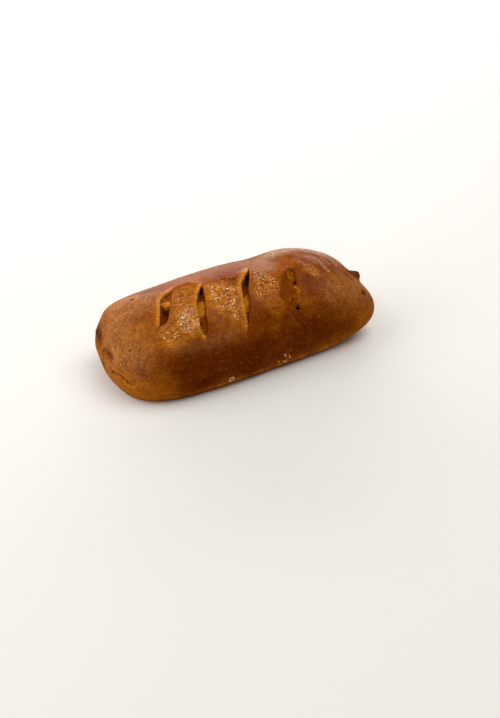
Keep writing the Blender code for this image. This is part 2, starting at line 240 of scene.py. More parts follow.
# A pore or, with a negative depth, a small bubble
Pore = namedtuple("Pore", "place radius depth")
PORES = read_table(Pore, 3, (
    ((-91.1, -17.8, 36.6), 0.6, 0.6),
    ((-70.8, 14.9, 51.6), 0.9, 1.3),
    ((-69.7, 13.9, 51.9), 0.6, 0.9),
    ((-65.1, 24.1, 48.9), 0.6, 0.7),
    ((83.3, -32.9, 33.1), 1.8, 3.4),
    ((47.8, -33.6, 42.6), 0.6, 0.6),
    ((64.6, -18.8, 48.7), 0.6, 0.6),
    ((26.2, -28.8, 47), 0.9, 1),
    ((34.3, -19.2, 52.5), 0.7, 0.8),
    ((35.8, -19.6, 52), 0.7, 0.8),
    ((25.4, -35.3, 41.6), 1.3, 5),
    ((26.1, -36.6, 40), 1.1, 3),
    ((-42.8, -26.2, 48), 0.9, 1.2),
    ((-94, 1, 12), 0.8, 0.8),
    ((-94, -8.5, 27), 0.8, -0.6),
    ((-93.9, -9.4, 25.6), 0.7, -0.6),
    ((-93.8, -11.8, 27.8), 0.8, -0.6),
    ((-93.9, -11.2, 23.8), 0.9, -0.7),
    ((-93.7, -14.6, 26.2), 0.8, -0.6),
    ((-93.6, -16, 23.6), 0.9, -0.7),
    ((-93.7, -14, 21.5), 0.7, -0.5),
    ((-93.9, 12.6, 9.8), 1.3, -1),
    ((16, -42.7, 14.2), 0.6, -0.5),
    ((14.6, -42.4, 11.8), 0.5, -0.4),
    ((12.4, -42.6, 12.4), 0.6, -0.4),
    ((15.6, -41.8, 8.8), 0.7, -0.6),
    ((13.2, -41.7, 7.8), 0.5, -0.5),
    ((11.2, -41.4, 7), 0.6, -0.5),
))

# A mark along a line: its half width and its strength
Stroke = namedtuple("Stroke", "line half_width strength")

# Painted shade along dark lines: in a crack, along a fold, at the edge of a lump and round some pores
PAINTED_SHADE_LINES = read_table(Stroke, 2, (
    (CRACK, 0.9, 0.85),
    (CRACK_END, 0.7, 0.75),
    (((30.5, -14.2), (33, -11.1), (35.8, -10.2), (37.6, -11.9), (37.1, -15)), 0.7, 0.45),
    (((33.7, -19.4), (34.5, -18.8)), 0.8, 0.55),
    (((35.2, -19.6), (35.8, -19.9)), 0.6, 0.45),
    (((26.2, -28.8), (26.8, -28.4)), 0.8, 0.45),
    (((37.5, -6.8), (40, -3)), 1, 0.35),
    (((-42.8, -26.2), (-42.4, -25.5)), 0.8, 0.6),
    (((21, -38.5, 37.5), (23.5, -40.9, 32), (27, -42, 26)), 0.8, 0.3),
))

# Pale flakes of dry dough, and painted glints along the ridge beside the fourth cut
FLAKES_AND_GLINTS = read_table(Stroke, 2, (
    (((10.7, -42.6, 13.3), (11.6, -42.4, 11.5), (13, -42, 10)), 0.4, 1.0),
    (((15, -42.2, 10.2), (16, -41.8, 8.8), (15.5, -41.5, 7.8)), 0.4, 1.0),
    (((11.8, -40.9, 6.2), (13, -40.7, 5.6), (13.8, -41, 6.6)), 0.4, 1.0),
    (((6.6, -41.6, 8.2), (8, -41.4, 7.3)), 0.4, 1.0),
    (((6.9, -42.3, 26.8), (7.2, -42.3, 25.8)), 0.4, 1.0),
    (((-93.4, -16.2, 16.8), (-91.9, -22.2, 15.5)), 0.5, 1.0),
    # Painted glints along the ridge beside the fourth cut
    (((44.9, -10.5), (44.6, -11.6)), 0.5, 1.0),
    (((44.3, -13.4), (44, -14.8)), 0.5, 1.0),
    (((43.6, -16.8), (43.3, -18)), 0.4, 1.0),
))
RING_BUBBLE = (-0.0297, -0.0412, 0.0068)
RING_RADIUS = 0.0016
RING_THICKNESS = 0.0005
RING_HEIGHT = 0.0005

# Where dry flour or a dull bloom makes the crust greyer, and where pale painted sheen lies along rims, seams
# and the left end
BLOOMS_AND_SHEEN = read_table(Stroke, 2, (
    # Pale streaks along the seams of the right end: dull bloom, partly painted sheen on the ridges
    (((59, 7), (61.4, -4.4), (61.6, -12.3), (62.2, -18.6)), 1.7, 0.8),
    (((54, 8.5), (57.5, -3), (57, -11)), 1.2, 0.55),
    (((62, 10), (67, -1), (69, -10)), 1.3, 0.55),
    (((74, -6), (76.5, -14.2), (79.6, -19.3), (83.5, -21.5)), 2, 0.65),
    # Painted glints along the ridge beside the fourth cut
    (((45.1, -9.5), (44.3, -13.4), (43.6, -16.5), (42.9, -20.3)), 0.7, 0.8),
    (((-93.8, 3, 33.5), (-94, -1.7, 30.4), (-94, -5.5, 28.5)), 1.6, 0.55),
    (((-94, 12.7, 23.2), (-94, 13.8, 19.2), (-94, 9.8, 12.5), (-94, 1.6, 11.2)), 1, 0.5),
    (((-94.1, 6.1, 15), (-94.1, -1.2, 16.8), (-94, 1, 22.5)), 3.4, 0.3),
    (CRACK_LIP, 0.6, 0.7),
    # Pale left shoulder and end: partly dusty bloom, partly painted sheen
    (((-67, 6, 52), (-86, 4, 42), (-92, -2, 30)), 13, 0.36),
    (((-86, 4, 42), (-89, -18, 33)), 15, 0.26),
    # Pale rear rim of the crown: partly dusty bloom, partly painted sheen
    (((-60, 26, 52), (0, 23, 54), (32, 19, 54)), 6.5, 0.34),
    (((-49.5, -19.5), (-54, -27.5)), 5, 0.32),
    (((-70, -33, 40), (-45, -38, 37), (-25, -37, 39)), 5, 0.14),
    (((56, -29, 43), (72, -31, 39), (88, -31, 30)), 11, 0.24),
    # Pale rear rim of the right crown: partly dusty bloom, partly painted sheen
    (((32, 18, 55), (50, 15, 54), (68, 9, 50), (80, 1, 44)), 7, 0.75),
    (((-93, 20, 18), (-94, 11, 12)), 1.6, 0.25),
))

# Torn or raised edges of paler dough, partly painted highlights along raised rims and crack lips
PALE_EDGES_AND_HIGHLIGHTS = read_table(Stroke, 2, (
    (((32.4, -22.2), (32.8, -24.2), (32.4, -26.2), (31.2, -28.2)), 1, 0.85),
    (((34.4, -16), (32.6, -14), (33.4, -11.6), (35.6, -11.2), (36.6, -13)), 0.8, 0.75),
    (((-94, -3, 15.6), (-93.6, -11.5, 17.2), (-92.8, -18, 16.6), (-91.5, -22.5, 15)), 0.8, 0.9),
    (((-93.6, -10, 12.8), (-93.2, -16.8, 10.4), (-91.5, -21.5, 11.2)), 0.7, 0.8),
    (((-94, 4, 26), (-94, -3, 29), (-94, -6, 24)), 1.3, 0.6),
))

# A blistered zone: its middle, its reach across and along the cuts, how thick its
# blisters stand, how golden and how pale it is, and how many of its blisters get a painted highlight
Zone = namedtuple("Zone", "middle across along blisters tint pale bright", defaults=(0.0,) * 4)
ZONES = read_table(Zone, 3, (
    ((-44, -4), 10.5, 9, 0.8, 0.55, 0.05, 0.5),
    ((-52, -23.5), 9.5, 12, 1.0, 1.0, 0.4, 1.0),
    ((-67.2, -26.8), 7.5, 6.6, 0.95, 1.0, 0.25, 0.7),
    ((-20.5, -16.5), 13, 16.5, 1.0, 0.8, 0.15, 0.75),
    ((-18.5, -28.5), 7, 9.5, 1.0, 0.7, 0.1, 0.6),
    ((-31, -29), 6, 8, 0.45, 0.3, 0.0, 0.15),
    ((12, -15.5), 12.5, 17, 0.95, 0.6, 0.05, 0.8),
    ((10, -30), 7, 8, 0.5, 0.4, 0.0, 0.55),
    ((49, -16.5), 7, 7, 0.9, 0.6, 0.0, 0.6),
))
ZONE_RAGGED = 0.22
ZONE_LIMIT = 1.6
ZONE_FADE = (0.50, 1.20)
ZONE_NOISE_SIZE = 0.0060
ZONE_HEIGHTS = (0.030, 0.038)

# Where the crust is browner or, with a negative amount, paler. Some rows paint shade or light, as noted.
BrowningShadeAndLight = namedtuple("BrowningShadeAndLight", "middle reach amount")
BROWNING_SHADE_AND_LIGHT = read_table(BrowningShadeAndLight, 2, (
    # Darker band low along the front: partly browning, partly painted shade on the side turned from the
    # light
    ((-15, -44, 20), (42, 24, 17), 0.95),
    ((35, -43, 22), (28, 20, 17), 0.85),
    ((-50, -41.5, 25), (23, 16, 12), 0.8),
    ((-62, -40, 11), (20, 20, 9), 0.45),
    ((-86, -32, 10), (18, 25, 11), -0.6),
    ((20, -38, 36), (20, 6, 8), 0.4),
    ((-58, 16.5, 53), (8, 4, 7), 0.9),
    # Darker round the left tip, partly painted shade
    ((-93, 18, 30), (6, 8, 8), 0.9),
    ((-93.5, -14, 25), (5, 4.6, 5), 0.8),
    # Painted shade in the dimple at the left end
    ((-94, 5, 21.5), (4, 4.5, 4), 1.2),
    ((85, -30, 12), (15, 20, 12), -0.2),
    ((-44, -4, 55), (8, 6, 8), 0.5),
    ((-31.5, -28.5, 47), (4.5, 6, 7), 0.6),
    ((-8, -5, 56), (12, 5.5, 8), 0.7),
    ((0, -34, 43), (11, 6, 8), 0.3),
    ((40.5, -25, 49), (4.5, 10, 8), 0.5),
    ((-64, -38.5, 33), (12, 8, 8), 0.35),
    ((24, 4, 55), (12, 10, 12), 0.45),
    # Paler left shoulder: painted light
    ((-84, 6, 44), (12, 14, 11), -0.8),
    # Darker low right side: painted shade that damps the light from the floor and sky
    ((60, -43, 20), (22, 16, 14), 0.3),
    ((68, -22, 43), (25, 18, 15), 0.34),
))

# Blisters: the least and the most of its cell that a small and a large one fills, how
# they are drawn and gathered, and which of them get a painted highlight
SMALL_DOMES = (0.30, 0.60)
LARGE_DOMES = (0.14, 0.36)
LARGE_DOME_SIZE = 2.1
LARGE_DOME_HEIGHT = 0.9
DOME_SHIFT = 0.03
WARP_PLACES = (Vector((9.3, -1.5, -7.9)), Vector((-8.1, 4.2, 6.6)), Vector((2.7, 7.4, -3.8)))
WARP_SCALE = 0.8
WARP_AMOUNT = 0.35
SIZE_DRAW = 31.7
SHINE_DRAW = 57.3
CLUMP_SIZE = 0.0045
CLUMP_RANGE = (-1.20, -0.10)
SHINE_START = 0.80
SHINE_SPREAD = 0.75
SHINE_STEP = 0.35
PLAIN_SHINE = 0.74
TINT_RANGE = (0.35, 0.85)
HARDLY_ANY = 0.01
HARDLY_OPEN = 0.05

# Fine wrinkles where the dough was stretched
WRINKLE_ZONES = read_table(Zone, 3, (((-8.5, -2), 12.5, 6), ((-42, -3), 10, 8)))
WRINKLE_STRETCH = (0.22, 1.0, 0.6)
WRINKLE_SIZE = 0.0016
WRINKLE_SHARPNESS = 3.0
WRINKLE_FLOOR = -0.4
WRINKLE_HEIGHT = 0.00046

# The ragged line along the foot of the front, and the calm band above the flat base
BASE_LINE_HEIGHT = 0.0044
BASE_LINE_WIDTH = 0.0011
BASE_LINE_RISE = 0.00050
BASE_LINE_RAGGED = (-0.4, 0.3)
BASE_LINE_NOISE_SIZE = 0.0026
BASE_LINE_START = (-0.060, -0.030)
BASE_LINE_END = (0.050, 0.070)
BASE_LINE_FAINT = 0.3
BASE_CALM = 0.006
BASE_HEIGHTS = (0.0015, 0.006)
FLAT_HEIGHT = 0.0003

# Layers of noise: the size of the features, how high they stand and where the noise starts
CRUST_NOISE = ((0.022, 0.00045, 0.0), (0.007, 0.00014, 7.0), (0.0026, 0.00005, 11.0))
CRUMB_NOISE = ((0.0026, 0.00045, 13.0), (0.0009, 0.00014, 17.0))
SAUSAGE_NOISE = ((0.006, 0.00025, 0.0),)
CHEESE_NOISE = ((0.0036, 0.0007, 0.0), (0.0015, 0.00035, 5.0))

# Where the crust's mesh is made finer: the share of a patch, and how near to cuts and spots
Detail = namedtuple("Detail", "patch cuts spots")
FINE = Detail(0.05, 0.0030, 0.0050)
FINEST = Detail(0.42, 0.0014, 0.0028)
THIN_RIDGE = 0.0016
LEFT_END_X = -0.088
LEFT_END_HALF_WIDTH = 0.026
LEFT_END_TOP = 0.036
BASE_LINE_TOP = 0.007
BASE_LINE_FOOT = 0.0002
TIP_DETAIL = 0.022
SEAM_DETAIL = 0.006
SAUSAGE_MESH = (64, 90)
CHEESE_MESH = (110, 380)

# The masks that the crust's colour reads, and the depths over which two of them and the
# plain crust's relief change
MASKS = ("inside", "deep", "patch", "tint", "pale", "blister", "speck_and_glint", "scorch", "pores", "browning_shade_and_light",
         "bloom_and_sheen", "pale_edge_and_highlight")
RIM_DEPTHS = (0.0004, 0.0020)
INSIDE_DEPTHS = (0.0004, 0.0022)
# Painted shade: over these depths the crumb darkens towards the deep crumb colour
PAINTED_SHADE_DEPTHS = (0.0025, 0.0085)

# The cheese: its middle line, how wide it spreads and how deep it lies under the crust
Stop = namedtuple("Stop", "x y half_width cover")
CHEESE_STOPS = read_table(Stop, 4, (
    (-66, -1, 5, 6.5),
    (-51, -5.5, 6, 6),
    (-38, -16, 8.5, 5.2),
    (-4, -22.5, 7.2, 5.5),
    (28, -23.5, 12, 5),
    (42, -22, 11, 5),
))
CHEESE_HALF_HEIGHT = 0.0050

# Where the cheese swells up into a cut: its middle, its reach and how deep it lies there
Lump = namedtuple("Lump", "middle reach cover")
CHEESE_LUMPS = read_table(Lump, 3, (
    ((-56.6, -5), 5.2, -0.6),
    ((-32.5, -10), 4.4, 1.8),
    ((-35, -15), 4.6, 2.8),
    ((-38, -20.5), 4.4, 2.6),
    ((-40, -24), 3.6, 2.8),
    ((-3, -18.8), 3.4, 2.2),
    ((-5.5, -22.6), 3.6, 2.8),
    ((-40, -26.8), 3.6, 2.6),
    ((-8, -26.8), 4, 3),
))
LUMP_FULLNESS = 1.4
CHEESE_END_BLUNT = 2.4
SAUSAGE_END_BLUNT = 3.2

# A noise of a surface's colour, by features to a metre
Pattern = namedtuple("Pattern", "scale detail roughness stretch offset",
                     defaults=((1.0, 1.0, 1.0), (0.0, 0.0, 0.0)))
BROAD = Pattern(26.0, 3.0, 0.55)
TOAST_PATCHES = Pattern(75.0, 4.0, 0.6, (0.6, 1.3, 1.0))
STREAKS = Pattern(70.0, 4.0, 0.6, (0.45, 1.4, 1.0), (0.3, 0.1, 0.2))
MOTTLE = Pattern(230.0, 3.0, 0.6)
# Spots of painted shade in the gaps between blisters
GAP_SHADE_SPOTS = Pattern(300.0, 3.0, 0.6)
SPARKS = Pattern(520.0, 3.0, 0.65, offset=(0.1, 0.4, 0.2))
FLECKS = Pattern(620.0, 3.0, 0.7)
SPECKLE = Pattern(780.0, 2.0, 0.6)
ROUGH = Pattern(150.0, 3.0, 0.55)
DIMPLE_SCALE = 420.0
BUBBLE_SCALE = 950.0
Bump = namedtuple("Bump", "distance strength")
GRAIN_BUMP = Bump(0.00022, 0.7)
DIMPLE_BUMP = Bump(0.00025, 0.6)
BUBBLE_BUMP = Bump(-0.00045, 0.8)
SKIN_BUMP = Bump(0.0003, 0.6)

# The shaders' plain values. The sausage and the cheese are two mottled colours, whose
# noise is spread between two ends, under a noise of bumps.
CRUST_FINISH = {"Specular IOR Level": 0.0, "Coat Roughness": 0.30, "Sheen Weight": 0.09,
                "Sheen Roughness": 0.30}
FLOOR_FINISH = {"Roughness": 0.8}
Look = namedtuple("Look", "finish mottle ends bumps")
SAUSAGE_LOOK = Look({"Roughness": 0.45, "Specular IOR Level": 0.10}, Pattern(240.0, 4.0, 0.6),
                    (0.35, 0.65), Pattern(300.0, 3.0, 0.6, (0.5, 1.5, 1.5)))
CHEESE_LOOK = Look({"Roughness": 0.50, "Specular IOR Level": 0.06, "Subsurface Weight": 0.06,
                    "Subsurface Radius": (0.004, 0.002, 0.0006)}, Pattern(160.0, 4.0, 0.6),
                   (0.40, 0.68), Pattern(420.0, 3.0, 0.6))

# Camera, worked out from the photograph's perspective
CAMERA_PLACE = (-0.4366, -0.6817, 0.5038)
CAMERA_AIM = (-0.0005, -0.0190, 0.0)
CAMERA_ROLL = math.radians(0.45)
SENSOR_WIDTH = 36.0
FLOOR_SIZE = 8.0

# The soft lights. Their powers are settings of the stage.
LIGHT_AIM = (0.0, 0.0, 0.03)
LIGHT_COLOR = (1.0, 0.93, 0.84)
BACK_COLOR = (1.0, 0.98, 0.95)
Light = namedtuple("Light", "name place size color")
LIGHTS = (
    Light("key", (-0.85, 0.60, 0.95), (1.1, 1.1), LIGHT_COLOR),
    Light("back_light", (0.55, 1.65, 0.34), (2.6, 0.6), BACK_COLOR),
    Light("top_light", (0.45, -0.25, 1.45), (1.1, 1.1), LIGHT_COLOR),
    Light("side_light", (-1.55, 0.10, 0.55), (0.9, 0.9), LIGHT_COLOR),
)


def smooth_step(low, high, value):
    share = np.clip((value - low) / (high - low), 0.0, 1.0)
    return share * share * (3.0 - 2.0 * share)


def bell(distance):
    return np.exp(-distance * distance)


def mix(first, second, share):
    return first + (second - first) * share


def left_over(along, blunt):
    """The share of the full section that is left at a place from -1 to 1 along the roll."""
    return np.maximum(1.0 - np.abs(along) ** blunt, 0.0) ** (1.0 / blunt)


def section(x, y):
    """Middle, half width, rise and sink of the roll at x, on the side of y."""
    along = np.clip(x / (ROLL_LENGTH / 2), -0.9999, 0.9999)
    middle_y = MIDDLE_BOW * (1.0 - along ** 2)
    front = y < middle_y
    left = along < 0
    side_blunt = np.where(left, np.where(front, LEFT_FRONT_BLUNT, LEFT_BACK_BLUNT),
                          np.where(front, RIGHT_FRONT_BLUNT, RIGHT_BACK_BLUNT))
    top_blunt = np.where(left, LEFT_TOP_BLUNT, RIGHT_TOP_BLUNT)
    side = np.where(front, FRONT_HALF_WIDTH, BACK_HALF_WIDTH)
    rise = left_over(along, top_blunt)
    top = ROLL_HEIGHT * (1.0 + RISE_TO_RIGHT * along) - WIDEST_HEIGHT
    return middle_y, side * left_over(along, side_blunt), top * rise, (WIDEST_HEIGHT + BASE_SINK) * rise


def crust_height(x, y):
    """Height of the smooth crust above a place on the floor."""
    middle_y, side, top, _ = section(x, y)
    across = np.minimum(np.abs(y - middle_y) / np.maximum(side, NEXT_TO_NOTHING), 1.0)
    return WIDEST_HEIGHT + top * (1.0 - across ** TOP_ROUNDNESS) ** (1.0 / TOP_ROUNDNESS)


def is_inside(places):
    """Which places lie within the smooth roll, before its base is flattened."""
    x, y, z = places.T
    middle_y, side, top, sink = section(x, y)
    above = z >= WIDEST_HEIGHT
    roundness = np.where(above, TOP_ROUNDNESS, BASE_ROUNDNESS)
    reach = np.where(above, top, sink)
    across = np.abs(y - middle_y) / np.maximum(side, NEXT_TO_NOTHING)
    upward = np.abs(z - WIDEST_HEIGHT) / np.maximum(reach, NEXT_TO_NOTHING)
    return (np.abs(x) < ROLL_LENGTH / 2) & (across ** roundness + upward ** roundness < 1.0)


def onto_crust(places):
    """Move places out from the core line until they meet the crust."""
    core = np.stack([places[:, 0] * CORE_REACH, 0.0 * places[:, 1],
                     np.full(len(places), WIDEST_HEIGHT)], axis=1)
    way = places - core
    near = np.zeros(len(places))
    far = np.full(len(places), SEARCH_REACH)
    for _ in range(SEARCH_STEPS):
        middle = (near + far) / 2
        inside = is_inside(core + way * middle[:, None])
        near = np.where(inside, middle, near)
        far = np.where(inside, far, middle)
    return core + way * near[:, None]


def lift_line(line):
    """A line of places, each with a height: its own, or that of the crust."""
    lifted = []
    for place in line:
        height = place[2] if len(place) > 2 else float(crust_height(np.array(place[0]), np.array(place[1])))
        lifted.append((place[0], place[1], height))
    return lifted


def distance_to_spots(places, middles):
    """Distance from each place to the nearest of several middles."""
    best = np.full(len(places), FAR)
    for middle in middles:
        best = np.minimum(best, np.linalg.norm(places - np.array(middle), axis=1))
    return best


def distance_to_line(places, line):
    """Shortest distance from each place to a line through several places."""
    best = np.full(len(places), FAR)
    for start, end in zip(line, line[1:]):
        start = np.array(start)
        way = np.array(end) - start
        share = np.clip((places - start) @ way / (way @ way), 0.0, 1.0)
        best = np.minimum(best, np.linalg.norm(places - start - share[:, None] * way, axis=1))
    return best


def side_of_line(places, line):
    """Flat distance to a line, positive to the left of one who walks along it."""
    best = np.full(len(places), FAR)
    side = np.ones(len(places))
    for start, end in zip(line, line[1:]):
        start = np.array(start)
        way = np.array(end) - start
        offset = places[:, :2] - start
        share = np.clip(offset @ way / (way @ way), 0.0, 1.0)
        away = np.linalg.norm(offset - share[:, None] * way, axis=1)
        turn = np.where(way[0] * offset[:, 1] - way[1] * offset[:, 0] > 0.0, 1.0, -1.0)
        side = np.where(away < best, turn, side)
        best = np.minimum(best, away)
    return best * side


def rounded_line(line, rounds=2):
    """The line with its corners cut, its ends kept."""
    for _ in range(rounds):
        softer = [line[0]]
        for start, end in zip(line, line[1:]):
            for share in CORNER_SHARES:
                softer.append(tuple(mix(a, b, share) for a, b in zip(start, end)))
        line = softer + [line[-1]]
    return line


def soft_noise(places, size, offset=0.0):
    """Smooth noise from about -1 to 1 whose features measure about one size."""
    aside = Vector((offset, offset, offset))
    return np.array([noise.noise(Vector(place) / size + aside) for place in places])


def noise_relief(places, layers):
    """The sum of several layers of noise."""
    return sum(soft_noise(places, size, offset) * height for size, height, offset in layers)


def lip_distances(places, cut):
    """How far each place lies inside the left and the right lip of a cut."""
    left = side_of_line(places, rounded_line(cut.left_lip)) + LIP_ROUND
    right = LIP_ROUND - side_of_line(places, rounded_line(cut.right_lip))
    near = np.minimum(left, right) > -TEAR_REACH * TEAR_DEPTH
    left[near] += soft_noise(places[near], TEAR_SIZE) * TEAR_DEPTH
    right[near] += soft_noise(places[near], TEAR_SIZE, 9.0) * TEAR_DEPTH
    return left, right


def read_cuts(places):
    """How open the crust is, how deep it is cut, how much its lips rise and how pale they are."""
    opening, depth, lips, pale, floor_drop = np.zeros((5, len(places)))
    upper = places[:, 2] > WIDEST_HEIGHT
    for hollow in HOLLOWS:
        away = np.linalg.norm(places[:, :2] - np.array(hollow.middle), axis=1)
        floor_drop += hollow.depth * bell(away / hollow.reach)
    for cut in CUTS:
        left, right = lip_distances(places, cut)
        here = smooth_step(0.0, cut.left_wall, left) * smooth_step(0.0, cut.right_wall, right) * upper
        opening = np.maximum(opening, here)
        depth += here * np.maximum(cut.depth + floor_drop, SHALLOWEST)
        outside = np.maximum(-np.minimum(left, right), 0.0)
        lips = np.maximum(lips, bell(outside / LIP_REACH) * upper * np.where(left < right, 1.0, RIGHT_LIP))
        if cut.pale_reach:
            on_left = (left < LIP_ROUND) * smooth_step(0.0, LIP_CLEAR, right)
            pale = np.maximum(pale, on_left * upper * bell(np.maximum(-left, 0.0) / cut.pale_reach))
    return opening, depth, lips, pale


def zone_strength(places, zone):
    """1 in the middle of a zone, fading to 0 past its edge."""
    offset = places[:, :2] - np.array(zone.middle)
    along = offset @ np.array(CUT_WAY) / zone.along
    across = offset @ np.array((CUT_WAY[1], -CUT_WAY[0])) / zone.across
    distance = np.hypot(along, across)
    near = distance < ZONE_LIMIT
    distance[near] += soft_noise(places[near], ZONE_NOISE_SIZE, 2.0) * ZONE_RAGGED
    return 1.0 - smooth_step(*ZONE_FADE, distance)


def read_zones(places):
    """Five shares of each place: in a zone at all, blisters, tint, pale, and painted highlight."""
    upper = smooth_step(*ZONE_HEIGHTS, places[:, 2])
    shares = np.zeros((5, len(places)))
    for zone in ZONES:
        strength = zone_strength(places, zone) * upper
        for number, share in enumerate((1.0, zone.blisters, zone.tint, zone.pale, zone.bright)):
            shares[number] = np.maximum(shares[number], strength * share)
    return shares


def add_up(places, spots):
    """The sum of soft spots, each with a middle, a reach and a height or amount."""
    total = np.zeros(len(places))
    for spot in spots:
        scaled = (places - np.array(spot[0])) / np.array(spot[1])
        total += spot[2] * bell(np.linalg.norm(scaled, axis=1))
    return total


def domes(places, size, low, high):
    """Round bubbles from 0 to 1, one to a cell of about one size, and a draw for each that picks its painted
    highlight.
    """
    heights = np.zeros(len(places))
    shine = np.zeros(len(places))
    for number, place in enumerate(places):
        spot = Vector(place) / size
        shift = [noise.noise(spot * WARP_SCALE + aside) for aside in WARP_PLACES]
        spot += Vector(shift) * WARP_AMOUNT
        distances, centres = noise.voronoi(spot)
        reach = mix(low, high, abs(noise.cell(centres[0] * SIZE_DRAW)) % 1.0)
        heights[number] = math.sqrt(max(1.0 - (distances[0] / reach) ** 2, 0.0))
        shine[number] = abs(noise.cell(centres[0] * SHINE_DRAW)) % 1.0
    return heights, shine


def broad_relief(places):
    """How far the crust stands out: its swellings, ridges and terraces."""
    rise = add_up(places, SWELLINGS)
    for ridge in RIDGES:
        rise += ridge.height * bell(distance_to_line(places, lift_line(ridge.line)) / ridge.half_width)
    upper = places[:, 2] > WIDEST_HEIGHT
    for terrace in TERRACES:
        side = side_of_line(places, terrace.line[::-1])
        near = np.abs(side) < TERRACE_REACH
        side[near] += soft_noise(places[near], TERRACE_NOISE_SIZE, 4.0) * TERRACE_WAVE
        front = smooth_step(-TERRACE_EDGE, TERRACE_EDGE, side)
        away = distance_to_line(places, lift_line(terrace.line))
        rise += terrace.height * front * bell(away / terrace.fall) * upper
    return rise * np.clip(places[:, 2] / BASE_CALM, 0.0, 1.0)


def read_strokes(places, strokes):
    """How strong the strokes are at each place, from 0 to a stroke's own strength."""
    strength = np.zeros(len(places))
    for stroke in strokes:
        away = distance_to_line(places, lift_line(stroke.line))
        strength = np.maximum(strength, bell(away / stroke.half_width) * stroke.strength)
    return strength


def pore_relief(places):
    """Pores, small bubbles, cracks and flake marks: their rise, the painted shade in pores, cracks and
    creases, how pale the bubbles are, and the flake marks.
    """
    rise, dark, pale = np.zeros((3, len(places)))
    for pore in PORES:
        spot = bell(np.linalg.norm(places - np.array(pore.place), axis=1) / pore.radius)
        rise -= pore.depth * spot
        # Painted shade: a pore that sinks in is darkened, as are the painted shade lines
        dark = np.maximum(dark, spot * (pore.depth > 0.0))
        pale = np.maximum(pale, spot * (pore.depth < 0.0))
    dark = np.maximum(dark, read_strokes(places, PAINTED_SHADE_LINES))
    ring = bell((np.linalg.norm(places - np.array(RING_BUBBLE), axis=1) - RING_RADIUS) / RING_THICKNESS)
    flakes_and_glints = np.maximum(read_strokes(places, FLAKES_AND_GLINTS), ring)
    return rise + RING_HEIGHT * flakes_and_glints, dark, pale, flakes_and_glints


def read_vectors(items, name):
    flat = np.zeros(len(items) * 3, np.float32)
    items.foreach_get(name, flat)
    return flat.reshape(-1, 3).astype(float)


def read_places(piece):
    return read_vectors(piece.data.vertices, "co")


def read_normals(piece):
    return read_vectors(piece.data.vertex_normals, "vector")


def write_places(piece, places):
    piece.data.vertices.foreach_set("co", places.astype(np.float32).ravel())
    piece.data.update()


def deselect_all():
    if bpy.context.object and bpy.context.object.mode != "OBJECT":
        bpy.ops.object.mode_set(mode="OBJECT")
    bpy.ops.object.select_all(action="DESELECT")


def use_only(piece):
    deselect_all()
    piece.select_set(True)
    bpy.context.view_layer.objects.active = piece


def edit_all(piece, operator, **settings):
    """Run an edit mode operator on the whole of a piece."""
    use_only(piece)
    bpy.ops.object.mode_set(mode="EDIT")
    bpy.ops.mesh.select_all(action="SELECT")
    operator(**settings)
    bpy.ops.object.mode_set(mode="OBJECT")


def remesh(piece, spacing):
    """Cover a piece with an even mesh, fusing what overlaps."""
    use_only(piece)
    modifier = piece.modifiers.new("remesh", "REMESH")
    modifier.mode = "VOXEL"
    modifier.voxel_size = spacing
    bpy.ops.object.modifier_apply(modifier=modifier.name)


def smooth_crust(crust):
    edit_all(crust, bpy.ops.mesh.vertices_smooth, factor=0.5, repeat=2)


def apply_place(piece):
    use_only(piece)
    bpy.ops.object.transform_apply(location=True, rotation=True, scale=True)


def add_block(name):
    """A rounded block a little smaller than the roll."""
    deselect_all()
    bpy.ops.mesh.primitive_cube_add(size=1.0, location=(0.0, 0.0, ROLL_HEIGHT / 2))
    block = bpy.context.object
    block.name = name
    block.scale = (ROLL_LENGTH, 2 * FRONT_HALF_WIDTH, ROLL_HEIGHT)
    apply_place(block)
    edit_all(block, bpy.ops.mesh.bevel, offset=BLOCK_BEVEL, segments=BLOCK_STEPS, affect="EDGES")
    return block


def add_round(name, middle, half_sizes, segments=32, rings=24):
    """A ball stretched to its half sizes, with its poles along X."""
    deselect_all()
    bpy.ops.mesh.primitive_uv_sphere_add(segments=segments, ring_count=rings, radius=1.0,
                                         location=middle, rotation=(0.0, math.pi / 2, 0.0))
    ball = bpy.context.object
    ball.name = name
    bpy.ops.object.transform_apply(location=False, rotation=True, scale=False)
    ball.scale = half_sizes
    apply_place(ball)
    return ball


def join_tips(crust):
    """Join the pinched tips to the crust, to be fused by the remesh that follows."""
    tips = []
    for number, tip in enumerate(TIPS):
        half_sizes = (tip.half_length, tip.radius, tip.radius)
        tips.append(add_round(f"tip_{number}", tip.middle, half_sizes))
    use_only(crust)
    for tip in tips:
        tip.select_set(True)
    bpy.ops.object.join()


def near_spots(places, reach):
    """Which places lie near a pore, a bubble or a crack."""
    near = distance_to_spots(places, [RING_BUBBLE, *(pore.place for pore in PORES)]) < reach
    for ridge in RIDGES:
        if ridge.half_width < THIN_RIDGE:
            near |= distance_to_line(places, lift_line(ridge.line)) < reach
    return near


def near_cuts(places, reach):
    """Which places lie in a cut or within reach of its lips."""
    near = np.zeros(len(places), bool)
    for cut in CUTS:
        left = side_of_line(places, cut.left_lip)
        right = -side_of_line(places, cut.right_lip)
        near |= (np.minimum(left, right) > -reach) & (places[:, 2] > WIDEST_HEIGHT)
    return near


def show_detail(centres, detail):
    """Which faces show blisters, cut walls, pores or cracks."""
    patch = read_zones(centres)[0] > detail.patch
    return patch | near_cuts(centres, detail.cuts) | near_spots(centres, detail.spots)


